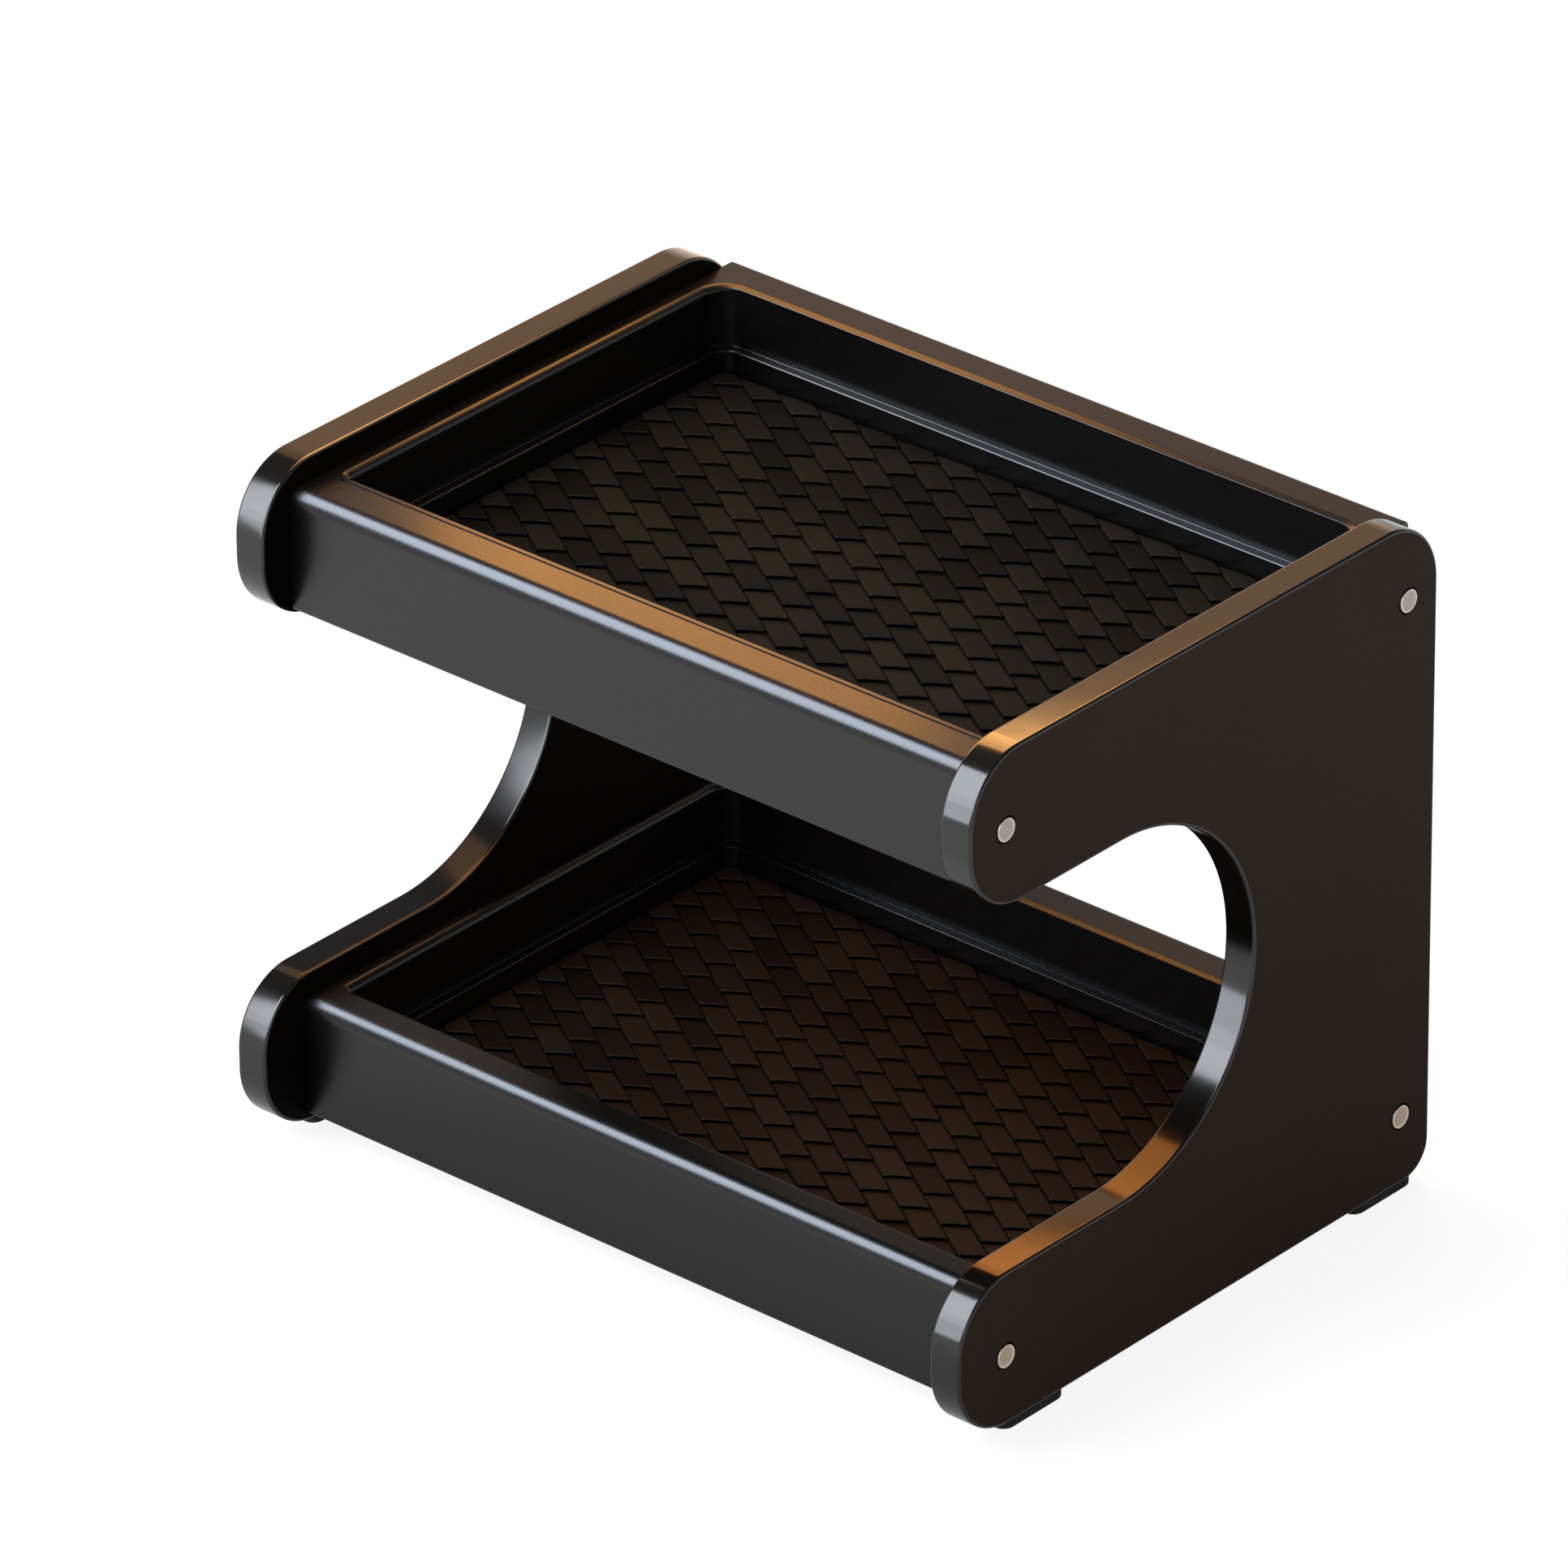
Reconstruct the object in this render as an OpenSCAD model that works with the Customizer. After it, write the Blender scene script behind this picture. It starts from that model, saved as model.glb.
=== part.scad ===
// Two-tier cup stand: two C-shaped side panels carry two moulded trays with loose woven mats.
// Millimetres. X runs along the width, +Y to the back, +Z up.
// The origin is on the ground, under the middle of the stand.

/* [Overall] */
// Width over the two side panels
stand_w = 345; // [300:5:420]
// Depth of a side panel, front of the lower arm to the back
stand_d = 262; // [250:2:300]
// Height of a side panel, without the feet
panel_h = 270; // [256:2:320]

/* [Side panels] */
// Thickness of a side panel
panel_t = 13.5; // [12:0.5:18]
// Height of each of the two arms
arm_h = 62; // [60:0.5:70]
// Radius of the front corners of the arms
arm_r = 27; // [18:1:29]
// How far the upper arm stops behind the lower one
arm_setback = 6.5; // [0:0.5:12]
// Depth of the upright behind the cut-out, at its narrowest
upright_d = 101; // [90:1:112]
// Radius of the top rear corner
rear_top_r = 28; // [16:1:44]
// Radius of the bottom rear corner
rear_low_r = 13; // [6:1:20]

/* [Trays] */
// Front of the trays, behind the front of the lower arm
tray_front = 20.5; // [16:0.5:24]
// Back of the trays, ahead of the back of the panels
tray_back = 0; // [0:0.5:4]
// Height of the rails
rail_h = 48; // [45:0.5:50]
// Top of the rails, below the top of the arms
rim_drop = 9.5; // [5:0.5:11]
// Depth of the upper tray's front rail
upper_front_rail_d = 21.5; // [14:0.5:28]
// Depth of the lower tray's front rail
lower_front_rail_d = 15; // [12:0.5:28]
// Depth of the rear rail
rear_rail_d = 16.5; // [12:0.5:22]
// Thickness of the end walls
end_wall = 8; // [7.5:0.5:12]
// Ledge inside the tray, below the rim
ledge_drop = 24.5; // [18:0.5:26]
// Width of the ledge
ledge_w = 4; // [2:0.5:8]
// Depth of the mat's recess, below the ledge
recess_h = 11.5; // [6:0.5:12]
// Thickness of the tray's floor
floor_t = 3; // [2:0.5:4]
// Wall thickness of the hollow rails
shell_t = 2.8; // [2:0.2:3.4]
// Radius of the rail's front top edge
front_edge_r = 4; // [2:0.5:6]
// Radius of the rail's rear top edge
rear_edge_r = 3; // [1:0.5:4]
// Radius of the rails' lower edges
low_edge_r = 1.5; // [0.5:0.5:2]
// Radius of the tray's front inner corners, seen from above
front_corner_r = 3; // [1:0.5:8]
// Radius of the tray's rear inner corners, seen from above
rear_corner_r = 10; // [5:1:20]
// Width of the low bead along the upper front rail's inner edge
upper_bead_w = 3.4; // [1:0.2:4]
// Width of the low bead along the lower front rail's inner edge
lower_bead_w = 1.2; // [1:0.2:4]
// How far the bead lies below the rim
bead_drop = 0.6; // [0.4:0.2:2]
// Thickness of the ribs under the tray
rib_t = 2; // [1.5:0.5:3]
// Height of the ribs under the tray's floor
rib_h = 6; // [3:0.5:6.5]
// Ribs across each tray
cross_ribs = 6; // [3:1:10]
// Ribs along each tray's floor
long_ribs = 2; // [1:1:4]

/* [Mats] */
// Thickness of a mat
mat_t = 3; // [2:0.5:4]
// Gap around a mat
mat_gap = 0.5; // [0.3:0.1:1.5]

/* [Fixings] */
// Screw axis behind the front face of the tray
front_screw_in = 5; // [5:0.5:9]
// Screw axis ahead of the back face of the tray
rear_screw_in = 16.5; // [7:0.5:20]
// Screw axis below the rim of the upper tray
upper_screw_drop = 21.5; // [14:0.5:30]
// Screw axis below the rim of the lower tray
lower_screw_drop = 24.5; // [14:0.5:30]
// Diameter of the screw's shank
screw_d = 4; // [3.5:0.1:4.4]
// Length of the screw's shank
screw_len = 13; // [11:0.5:13.5]
// Diameter of the screw's head
head_d = 8.6; // [8:0.1:9]
// Height of the screw's head
head_h = 3.2; // [2.5:0.1:3.6]
// Width across the flats of the head's hexagon socket
socket_af = 3; // [2.5:0.5:4]
// Diameter of the cover cap
cap_d = 10.5; // [10:0.1:12]
// Thickness of the cap's disc
cap_t = 1.7; // [1.2:0.1:2.2]
// How far the cap stands out of the panel
cap_proud = 0.4; // [0:0.1:0.8]
// Outer diameter of the threaded insert
insert_d = 6; // [5.5:0.1:6.4]
// Length of the threaded insert
insert_len = 6; // [4:0.5:6.5]

/* [Feet] */
// Height of the feet below the panels
foot_h = 5; // [3:0.5:8]
// Width of a foot
foot_w = 10; // [8:0.5:11]
// Length of a foot
foot_len = 34; // [24:1:44]
// Rear end of the rear feet, ahead of the back of the panels
foot_rear_in = 5.5; // [5:0.5:20]

/* [Hidden] */
$fn = 96;
overrun = 1;
bite = 0.1; // ribs into the walls and floor that they join
screw_clear = 0.3; // radial, shank in the panel's bore
head_clear = 0.3; // radial, head and cap plug in the head's bore
cap_clear = 0.3; // radial, cap in its recess
fit_clear = 0.05; // radial, insert in the tray and screw in the insert
mat_seat = 0.2; // under a mat
socket_h = 2;
cap_rim_w = 0.8;
cap_dish = 0.25;
cap_plug_h = 1;
cap_plug_wall = 0.9;
shank_chamfer = 0.8;
insert_groove_w = 1.2;
insert_groove_h = 0.4;
hole_beyond = 1.2; // hole past the tip of the screw or the insert
foot_edge = 1; // round of a foot's lower edge

cut_r = panel_h / 2 - arm_h;
cut_y = stand_d - upright_d - cut_r;
inner_w = stand_w - 2 * panel_t;
tray_d = stand_d - tray_front - tray_back;
well_w = inner_w - 2 * end_wall;
head_seat = panel_t - cap_t + cap_proud - cap_plug_h - head_h - head_clear;
tip_in = screw_len - head_seat; // screw tip inside the tray's end face
hole_len = max(tip_in, insert_len) + hole_beyond;
floor_drop = ledge_drop + recess_h; // floor below the rim
rib_pitch = well_w / (cross_ribs + 1);

SIDES = ["left", "right"];
LEVELS = ["upper", "lower"];
ENDS = ["front", "rear"];
function side_sign(side) = side == "left" ? -1 : 1;
function is_upper(level) = level == "upper";
function rim_z(level) = foot_h + (is_upper(level) ? panel_h : arm_h) - rim_drop;
function screw_z(level) = rim_z(level) - (is_upper(level) ? upper_screw_drop : lower_screw_drop);
function screw_y(end) = end == "front" ? tray_front + front_screw_in : stand_d - tray_back - rear_screw_in;
function front_rail_d(level) = is_upper(level) ? upper_front_rail_d : lower_front_rail_d;
function well_d(level) = tray_d - front_rail_d(level) - rear_rail_d;
function bead_w(level) = is_upper(level) ? upper_bead_w : lower_bead_w;
function foot_y(end) = end == "front" ? arm_r + foot_len / 2 : stand_d - foot_rear_in - foot_len / 2;
function fixing_names(kind) = [for (s = SIDES, l = LEVELS, e = ENDS) str(kind, "_", s, "_", l, "_", e)];

// Placing

// A flat shape drawn as depth and height, extruded to the right from x = 0
module along_x(len) {
    rotate([90, 0, 90]) linear_extrude(len) children();
}

// The mid-width, front-face frame of a tray, with its rim at z = 0
module tray_frame(level) {
    translate([0, tray_front - stand_d / 2, rim_z(level)]) children();
}

// A screw's frame: x = 0 on the panel's inner face, +x outwards
module fixing_frame(side, level, end) {
    mirror([side == "left" ? 1 : 0, 0, 0])
        translate([inner_w / 2, screw_y(end) - stand_d / 2, screw_z(level)])
            rotate([0, 90, 0]) children();
}

// Shared shapes

// What lies outside a rounded corner at the origin of the first quadrant
module corner_waste(r) {
    if (r > 0) difference() {
        translate([-overrun, -overrun]) square(r + overrun);
        translate([r, r]) circle(r = r);
    }
}

// A rectangle from the origin with a radius for each corner
module rounded_rect(w, h, low_left, low_right, top_left, top_right) {
    difference() {
        square([w, h]);
        corner_waste(low_left);
        translate([w, 0]) mirror([1, 0]) corner_waste(low_right);
        translate([0, h]) mirror([0, 1]) corner_waste(top_left);
        translate([w, h]) mirror([1, 0]) mirror([0, 1]) corner_waste(top_right);
    }
}

// A ring along z
module ring(outer_r, inner_r, h) {
    difference() {
        cylinder(r = outer_r, h = h);
        translate([0, 0, -overrun]) cylinder(r = inner_r, h = h + 2 * overrun);
    }
}

// Side panels

module arm_shape(front) {
    translate([front, 0])
        rounded_rect(stand_d - front - rear_top_r, arm_h, arm_r, 0, arm_r, 0);
}

module panel_shape() {
    arm_shape(0);
    translate([0, panel_h - arm_h]) arm_shape(arm_setback);
    difference() {
        translate([cut_y, 0])
            rounded_rect(stand_d - cut_y, panel_h, 0, rear_low_r, 0, rear_top_r);
        translate([cut_y, panel_h / 2]) circle(r = cut_r);
    }
}

module side_panel(side) {
    color("#262422") difference() {
        mirror([side == "left" ? 1 : 0, 0, 0])
            translate([inner_w / 2, -stand_d / 2, foot_h])
                along_x(panel_t) panel_shape();
        for (l = LEVELS, e = ENDS) fixing_frame(side, l, e) {
            translate([0, 0, -overrun])
                cylinder(r = screw_d / 2 + screw_clear, h = panel_t + 2 * overrun);
            translate([0, 0, head_seat])
                cylinder(r = head_d / 2 + head_clear, h = panel_t);
            translate([0, 0, panel_t - cap_t + cap_proud])
                cylinder(r = cap_d / 2 + cap_clear, h = panel_t);
        }
    }
}

// Trays

module rail_section() {
    mirror([0, 1]) rounded_rect(tray_d, rail_h, front_edge_r, rear_edge_r, low_edge_r, low_edge_r);
}

// Plan of a space inside the tray, inset from the well by a margin
module well_plan(level, inset) {
    front_r = max(front_corner_r - inset, low_edge_r);
    rear_r = max(rear_corner_r - inset, low_edge_r);
    translate([inset - well_w / 2, front_rail_d(level) + inset])
        rounded_rect(well_w - 2 * inset, well_d(level) - 2 * inset, front_r, front_r, rear_r, rear_r);
}

module tray_wells(level) {
    translate([0, 0, -ledge_drop]) linear_extrude(ledge_drop + overrun) well_plan(level, 0);
    translate([0, 0, -floor_drop]) linear_extrude(recess_h + overrun) well_plan(level, ledge_w);
    // step that leaves the bead along the front rail
    translate([-well_w / 2, front_rail_d(level) - bead_w(level), -bead_drop])
        cube([well_w, bead_w(level) + overrun, bead_drop + overrun]);
}

// Hollows of one rail, open below, between the cross ribs
module rail_hollows(front, depth) {
    for (i = [0 : cross_ribs])
        translate([-well_w / 2 + i * rib_pitch + rib_t / 2, front + shell_t, -rail_h - overrun])
            cube([rib_pitch - rib_t, depth - 2 * shell_t, rail_h + overrun - shell_t]);
}

// Ribs under the floor: across the tray and along it
module floor_ribs(level) {
    front = front_rail_d(level);
    depth = well_d(level);
    low = -floor_drop - floor_t - rib_h;
    for (i = [1 : cross_ribs])
        translate([-well_w / 2 + i * rib_pitch - rib_t / 2, front - bite, low])
            cube([rib_t, depth + 2 * bite, rib_h + bite]);
    for (i = [1 : long_ribs])
        translate([-well_w / 2 - bite, front + i * depth / (long_ribs + 1) - rib_t / 2, low])
            cube([well_w + 2 * bite, rib_t, rib_h + bite]);
}

module tray(level) {
    front = front_rail_d(level);
    depth = well_d(level);
    color("#2e2b28") difference() {
        tray_frame(level) {
            difference() {
                translate([-inner_w / 2, 0, 0]) along_x(inner_w) rail_section();
                tray_wells(level);
                rail_hollows(0, front);
                rail_hollows(front + depth, rear_rail_d);
                translate([-well_w / 2, front, -rail_h - overrun])
                    cube([well_w, depth, rail_h + overrun - floor_drop - floor_t]);
            }
            floor_ribs(level);
        }
        for (s = SIDES, e = ENDS) fixing_frame(s, level, e)
            translate([0, 0, -hole_len]) cylinder(r = insert_d / 2 + fit_clear, h = hole_len + overrun);
    }
}

// Mats

module mat(level) {
    color("#1f1a16") tray_frame(level)
        translate([0, 0, mat_seat - floor_drop])
            linear_extrude(mat_t) well_plan(level, ledge_w + mat_gap);
}

// Fixings

module cap() {
    color("#b9b6ae") translate([0, 0, panel_t - cap_t + cap_proud]) {
        difference() {
            cylinder(r = cap_d / 2, h = cap_t);
            translate([0, 0, cap_t - cap_dish]) cylinder(r = cap_d / 2 - cap_rim_w, h = cap_dish + overrun);
        }
        translate([0, 0, -cap_plug_h]) ring(head_d / 2, head_d / 2 - cap_plug_wall, cap_plug_h);
    }
}

module screw() {
    color("#8c8f92") translate([0, 0, head_seat]) difference() {
        union() {
            cylinder(r = head_d / 2, h = head_h);
            translate([0, 0, shank_chamfer - screw_len]) cylinder(d = screw_d, h = screw_len);
            translate([0, 0, -screw_len])
                cylinder(r1 = screw_d / 2 - shank_chamfer, r2 = screw_d / 2, h = shank_chamfer);
        }
        translate([0, 0, head_h - socket_h])
            cylinder(d = socket_af / cos(30), h = socket_h + overrun, $fn = 6);
    }
}

module insert() {
    color("#b08d4a") translate([0, 0, -insert_len]) difference() {
        ring(insert_d / 2, screw_d / 2 + fit_clear, insert_len);
        translate([0, 0, insert_len / 2 - insert_groove_w / 2])
            ring(insert_d / 2 + overrun, insert_d / 2 - insert_groove_h, insert_groove_w);
    }
}

// Feet

module foot(side, end) {
    lower_w = foot_w - 2 * foot_edge;
    color("#161514")
        translate([side_sign(side) * (stand_w - panel_t) / 2, foot_y(end) - stand_d / 2, 0]) {
            translate([0, 0, foot_edge]) linear_extrude(foot_h - foot_edge) foot_shape(foot_w, foot_len);
            linear_extrude(foot_edge) foot_shape(lower_w, foot_len - 2 * foot_edge);
        }
}

module foot_shape(w, len) {
    square([w, len - w], center = true);
    for (y = [w / 2 - len / 2, len / 2 - w / 2]) translate([0, y]) circle(d = w);
}

for (s = SIDES) {
    side_panel(s);
}
for (l = LEVELS) {
    tray(l);
    mat(l);
}
for (s = SIDES, l = LEVELS, e = ENDS) {
    fixing_frame(s, l, e) cap();
    fixing_frame(s, l, e) screw();
    fixing_frame(s, l, e) insert();
}
for (s = SIDES, e = ENDS) {
    foot(s, e);
}
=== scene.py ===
import math

import bmesh
import bpy
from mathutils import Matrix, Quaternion, Vector


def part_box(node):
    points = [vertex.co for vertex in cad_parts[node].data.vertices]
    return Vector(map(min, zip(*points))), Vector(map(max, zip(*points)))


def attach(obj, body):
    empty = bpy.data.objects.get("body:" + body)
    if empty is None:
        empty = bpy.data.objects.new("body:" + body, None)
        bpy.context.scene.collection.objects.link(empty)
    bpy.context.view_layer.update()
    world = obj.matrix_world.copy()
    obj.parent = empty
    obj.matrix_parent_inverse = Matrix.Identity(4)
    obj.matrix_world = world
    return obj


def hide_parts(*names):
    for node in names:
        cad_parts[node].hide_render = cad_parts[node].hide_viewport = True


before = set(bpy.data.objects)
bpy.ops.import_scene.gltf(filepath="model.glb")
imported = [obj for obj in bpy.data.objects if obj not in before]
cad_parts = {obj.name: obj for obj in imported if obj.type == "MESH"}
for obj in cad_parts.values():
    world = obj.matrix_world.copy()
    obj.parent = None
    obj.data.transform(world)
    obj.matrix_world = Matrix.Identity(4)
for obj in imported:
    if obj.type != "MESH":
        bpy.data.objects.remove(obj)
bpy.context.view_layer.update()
mm = 0.001  # lengths below are in millimetres; makePiece turns them into metres
print("frame loaded:", len(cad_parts), "nodes")


# The photograph's long-lens view, in metres and degrees

shot = {
    "place": (2.89335, -3.30940, 2.56733),
    "turn": (61.2599, 0.4210, 41.1465),
    "lens": 320.87,
    "sensor": 36,
}

cameraData = bpy.data.cameras.new("longLens")
cameraData.lens = shot["lens"]
cameraData.sensor_width = shot["sensor"]
camera = bpy.data.objects.new("longLens", cameraData)
camera.location = shot["place"]
camera.rotation_euler = [math.radians(angle) for angle in shot["turn"]]
bpy.context.scene.collection.objects.link(camera)
bpy.context.scene.camera = camera
bpy.context.scene.view_settings.view_transform = "Standard"
print("camera placed")


# Plain arithmetic on node sockets

class Signal:
    def __init__(self, web, socket):
        self.web = web
        self.socket = socket

    def maths(self, operation, other=None, swapped=False):
        pair = [other, self] if swapped else [self, other]
        return self.web.node("ShaderNodeMath", {"operation": operation}, dict(enumerate(pair)))

    def __add__(self, other):
        return self.maths("ADD", other)

    def __sub__(self, other):
        return self.maths("SUBTRACT", other)

    def __mul__(self, other):
        return self.maths("MULTIPLY", other)

    def __truediv__(self, other):
        return self.maths("DIVIDE", other)

    def __rsub__(self, other):
        return self.maths("SUBTRACT", other, swapped=True)

    def __rtruediv__(self, other):
        return self.maths("DIVIDE", other, swapped=True)

    __radd__ = __add__
    __rmul__ = __mul__


class Web:
    def __init__(self, tree):
        self.tree = tree
        tree.nodes.clear()

    def plug(self, entry, value):
        if value is None:
            return
        if isinstance(value, Signal):
            self.tree.links.new(value.socket, entry)
        else:
            entry.default_value = value

    def node(self, kind, settings=None, sockets=None, out=0):
        made = self.tree.nodes.new(kind)
        for name, value in (settings or {}).items():
            setattr(made, name, value)
        for name, value in (sockets or {}).items():
            self.plug(made.inputs[name], value)
        return Signal(self, made.outputs[out]) if len(made.outputs) else made

    def mixed(self, factor, first, second):
        return self.node("ShaderNodeMix", {"data_type": "RGBA"}, {0: factor, 6: first, 7: second}, out=2)

    def placed(self, operation, first, second):  # vector arithmetic; SCALE takes a number second
        entry = 3 if operation == "SCALE" else 1
        return self.node("ShaderNodeVectorMath", {"operation": operation}, {0: first, entry: second})

    def between(self, value, low, high):  # 0 below low, 1 above high, eased
        settings = {"interpolation_type": "SMOOTHSTEP"}
        return self.node("ShaderNodeMapRange", settings, {
            "Value": value, "From Min": low, "From Max": high})


def rgb(red, green, blue):
    return (red, green, blue, 1)


# Studio: a tall cool softbox in front on the left, warm ones behind, and a pale floor

studio = {
    "floorSize": 60000,
    "floorTone": (0.28, 0.28, 0.28),
    "floorGlow": 0.88,
    "floorDrop": 0.2,  # how far it lies below the feet
    "shadeCentre": (40, 60),  # the object's own shade, as its surfaces mirror it
    "shadeHalf": (132, 90),
    "shadeReach": 320,
    "shadeLeast": 0.3,
    "horizonTone": (1.0, 1.0, 1.0),
    "zenithTone": (0.12, 0.12, 0.125),
    "gradient": (0.10, 0.50),  # sine of the elevations where the sky starts and stops darkening
}

tallSoftbox = {  # three lamps in one plane, because it dims toward its lower end
    "toward": (0.174, 0.985, -0.002),
    "roll": 19.7,
    "mirroredIn": ["panel_lacquer", "woven_mat", "cap_metal", "foot_rubber"],
}
leaningStrip = {
    "toward": (0.600, -0.046, -0.799),
    "roll": -43.4,
}
rearPanel = {
    "centre": (-155, 191, 436),
    "toward": (0.794, -0.607, -0.045),
    "roll": 12.6,
    "size": (505, 509),
}

lamps = {
    "keyLight": {
        "centre": (-500, 300, 1900),
        "toward": (0.28, -0.17, -1.0),
        "size": (1200, 1200), "glow": (4.0, 3.9, 3.8),
        "mirroredIn": None,  # lights the surfaces, and isn't mirrored in them
    },
    "fillLight": {
        "centre": (-900, -1300, 1500),
        "toward": (0.55, 0.80, -0.83),
        "size": (1200, 1200), "glow": (6.4, 6.3, 6.2),
        "mirroredIn": None,
    },
    "frontSoftbox": {
        **tallSoftbox,
        "centre": (-369, -931, 1365),
        "size": (1534, 1356), "glow": (9.3, 9.8, 10.7),
    },
    "softboxWaist": {
        **tallSoftbox,
        "centre": (-111, -977, 633),
        "size": (1534, 200), "glow": (8.0, 8.5, 9.3),
    },
    "softboxFoot": {
        **tallSoftbox,
        "centre": (-22, -993, 379),
        "size": (1534, 340), "glow": (5.9, 6.3, 7.0),
    },
    "railSoftbox": {
        "centre": (-692, -598, 1113),
        "toward": (0.577, 0.4085, -0.7075),
        "size": (1100, 860), "glow": (12.0, 13.3, 15.6),
        "mirroredIn": ["tray_plastic"],
    },
    "warmStrip": {
        **leaningStrip,
        "centre": (-82, 131, 551),
        "size": (493, 238), "glow": (11.0, 5.3, 1.6),
        "mirroredIn": ["panel_lacquer", "cap_metal"],
    },
    "railStrip": {
        **leaningStrip,
        "centre": (-219, 173, 446),
        "size": (215, 102), "glow": (6.7, 2.85, 0.6),
        "mirroredIn": ["tray_plastic"],
    },
    "warmPanel": {
        **rearPanel,
        "glow": (1.0, 0.55, 0.24),
        "mirroredIn": ["panel_lacquer"],
    },
    "railPanel": {
        **rearPanel,
        "glow": (0.46, 0.26, 0.13),
        "mirroredIn": ["tray_plastic", "woven_mat"],
    },
    "amberStrip": {
        "centre": (20, 50, 216),
        "toward": (0, 0, -1),
        "size": (290, 128), "glow": (4.8, 1.7, 0.36),
        "mirroredIn": ["panel_lacquer", "woven_mat"],
    },
    "bounceCard": {
        "centre": (222, 45, 3),
        "toward": (0, 0, 1),
        "size": (80, 330), "glow": (0.5, 0.34, 0.2),
        "mirroredIn": ["cap_metal"],
    },
}


def addLamp(name, lamp):
    width, height = lamp["size"]
    data = bpy.data.lights.new(name, "AREA")
    data.shape = "RECTANGLE"
    data.size = width * mm
    data.size_y = height * mm
    brightest = max(lamp["glow"])
    data.color = [part / brightest for part in lamp["glow"]]
    data.energy = brightest * math.pi * data.size * data.size_y
    light = bpy.data.objects.new(name, data)
    light.location = Vector(lamp["centre"]) * mm
    facing = Vector(lamp["toward"]).to_track_quat("-Z", "Y")
    light.rotation_euler = (facing @ Quaternion((0, 0, 1), math.radians(lamp.get("roll", 0)))).to_euler()
    light.visible_diffuse = lamp["mirroredIn"] is None
    light.visible_glossy = lamp["mirroredIn"] is not None
    if lamp["mirroredIn"]:
        light.light_linking.receiver_collection = bpy.data.collections.new(name + "Mirrors")
    bpy.context.scene.collection.objects.link(light)


def makeSky():
    world = bpy.data.worlds.new("paleSky")
    world.use_nodes = True
    web = Web(world.node_tree)
    way = web.node("ShaderNodeTexCoord")
    up = web.node("ShaderNodeSeparateXYZ", None, {0: way}, out=2)
    height = web.between(up, *studio["gradient"])
    tone = web.mixed(height, rgb(*studio["horizonTone"]), rgb(*studio["zenithTone"]))
    shine = web.node("ShaderNodeBackground", None, {"Color": tone, "Strength": 1})
    web.node("ShaderNodeOutputWorld", None, {"Surface": shine})
    bpy.context.scene.world = world


def shade(web):  # how much darker the floor is mirrored near the object
    coords = web.node("ShaderNodeTexCoord", None, None, out=3)
    away = None
    for axis in range(2):
        along = web.node("ShaderNodeSeparateXYZ", None, {0: coords}, out=axis)
        reach = (along - studio["shadeCentre"][axis] * mm).maths("ABSOLUTE")
        beyond = (reach - studio["shadeHalf"][axis] * mm).maths("MAXIMUM", 0.0)
        away = beyond * beyond if away is None else away + beyond * beyond
    clear = web.between(away.maths("SQRT"), 0, studio["shadeReach"] * mm)
    return (1 - clear) * (1 - studio["shadeLeast"])


def makeFloor():
    half = studio["floorSize"] * mm / 2
    mesh = bpy.data.meshes.new("floor")
    corners = [(-half, -half), (half, -half), (half, half), (-half, half)]
    mesh.from_pydata([(x, y, -studio["floorDrop"] * mm) for x, y in corners], [], [(0, 1, 2, 3)])
    floor = bpy.data.objects.new("floor", mesh)
    bpy.context.scene.collection.objects.link(floor)
    material = bpy.data.materials.new("paleFloor")
    material.use_nodes = True
    web = Web(material.node_tree)
    rays = web.node("ShaderNodeLightPath").socket.node.outputs
    seen, mirrored, through = [Signal(web, rays[name]) for name in (
        "Is Camera Ray", "Is Glossy Ray", "Is Transmission Ray")]
    glow = (seen + mirrored + through) * studio["floorGlow"] * (1 - shade(web) * mirrored)
    matte = web.node("ShaderNodeBsdfDiffuse", None, {"Color": rgb(*studio["floorTone"])})
    shine = web.node("ShaderNodeEmission", None, {"Color": rgb(1, 1, 1), "Strength": glow})
    surface = web.node("ShaderNodeAddShader", None, {0: matte, 1: shine})
    web.node("ShaderNodeOutputMaterial", None, {"Surface": surface})
    mesh.materials.append(material)


for lampName, lampValues in lamps.items():
    addLamp(lampName, lampValues)
makeSky()
makeFloor()
print("studio lit")


# Finishes

def newFinish(name):
    material = bpy.data.materials.new(name)
    material.use_nodes = True
    web = Web(material.node_tree)
    coords = web.node("ShaderNodeTexCoord", None, None, out=3)
    return material, web, coords


def noise(web, coords, scale, detail, rough):
    return web.node("ShaderNodeTexNoise", None, {
        "Vector": coords, "Scale": scale, "Detail": detail, "Roughness": rough})


def bump(web, height, depth, strength, under=None):  # depth in millimetres
    return web.node("ShaderNodeBump", None, {
        "Height": height, "Distance": depth * mm, "Strength": strength, "Normal": under})


def toned(web, share, look):  # from the finish's dark tone to its light one
    return web.mixed(share, rgb(*look["dark"]), rgb(*look["light"]))


def coat(material, web, sockets):
    shader = web.node("ShaderNodeBsdfPrincipled", None, sockets)
    web.node("ShaderNodeOutputMaterial", None, {"Surface": shader})
    return material


def evenFinish(name, look):  # its tone in soft clouds, its gloss and relief in a fine grain
    material, web, coords = newFinish(name)
    cloud = noise(web, coords, *look["cloud"])
    grain = noise(web, coords, *look["grain"])
    return coat(material, web, {
        "Base Color": toned(web, cloud, look),
        "Metallic": look["metallic"],
        "Roughness": look["rough"] + (grain - 0.5) * look["roughSpread"],
        "Specular IOR Level": look["specular"],
        "Normal": bump(web, grain, look["grainDepth"], look["grainStrength"]),
    })


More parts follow.
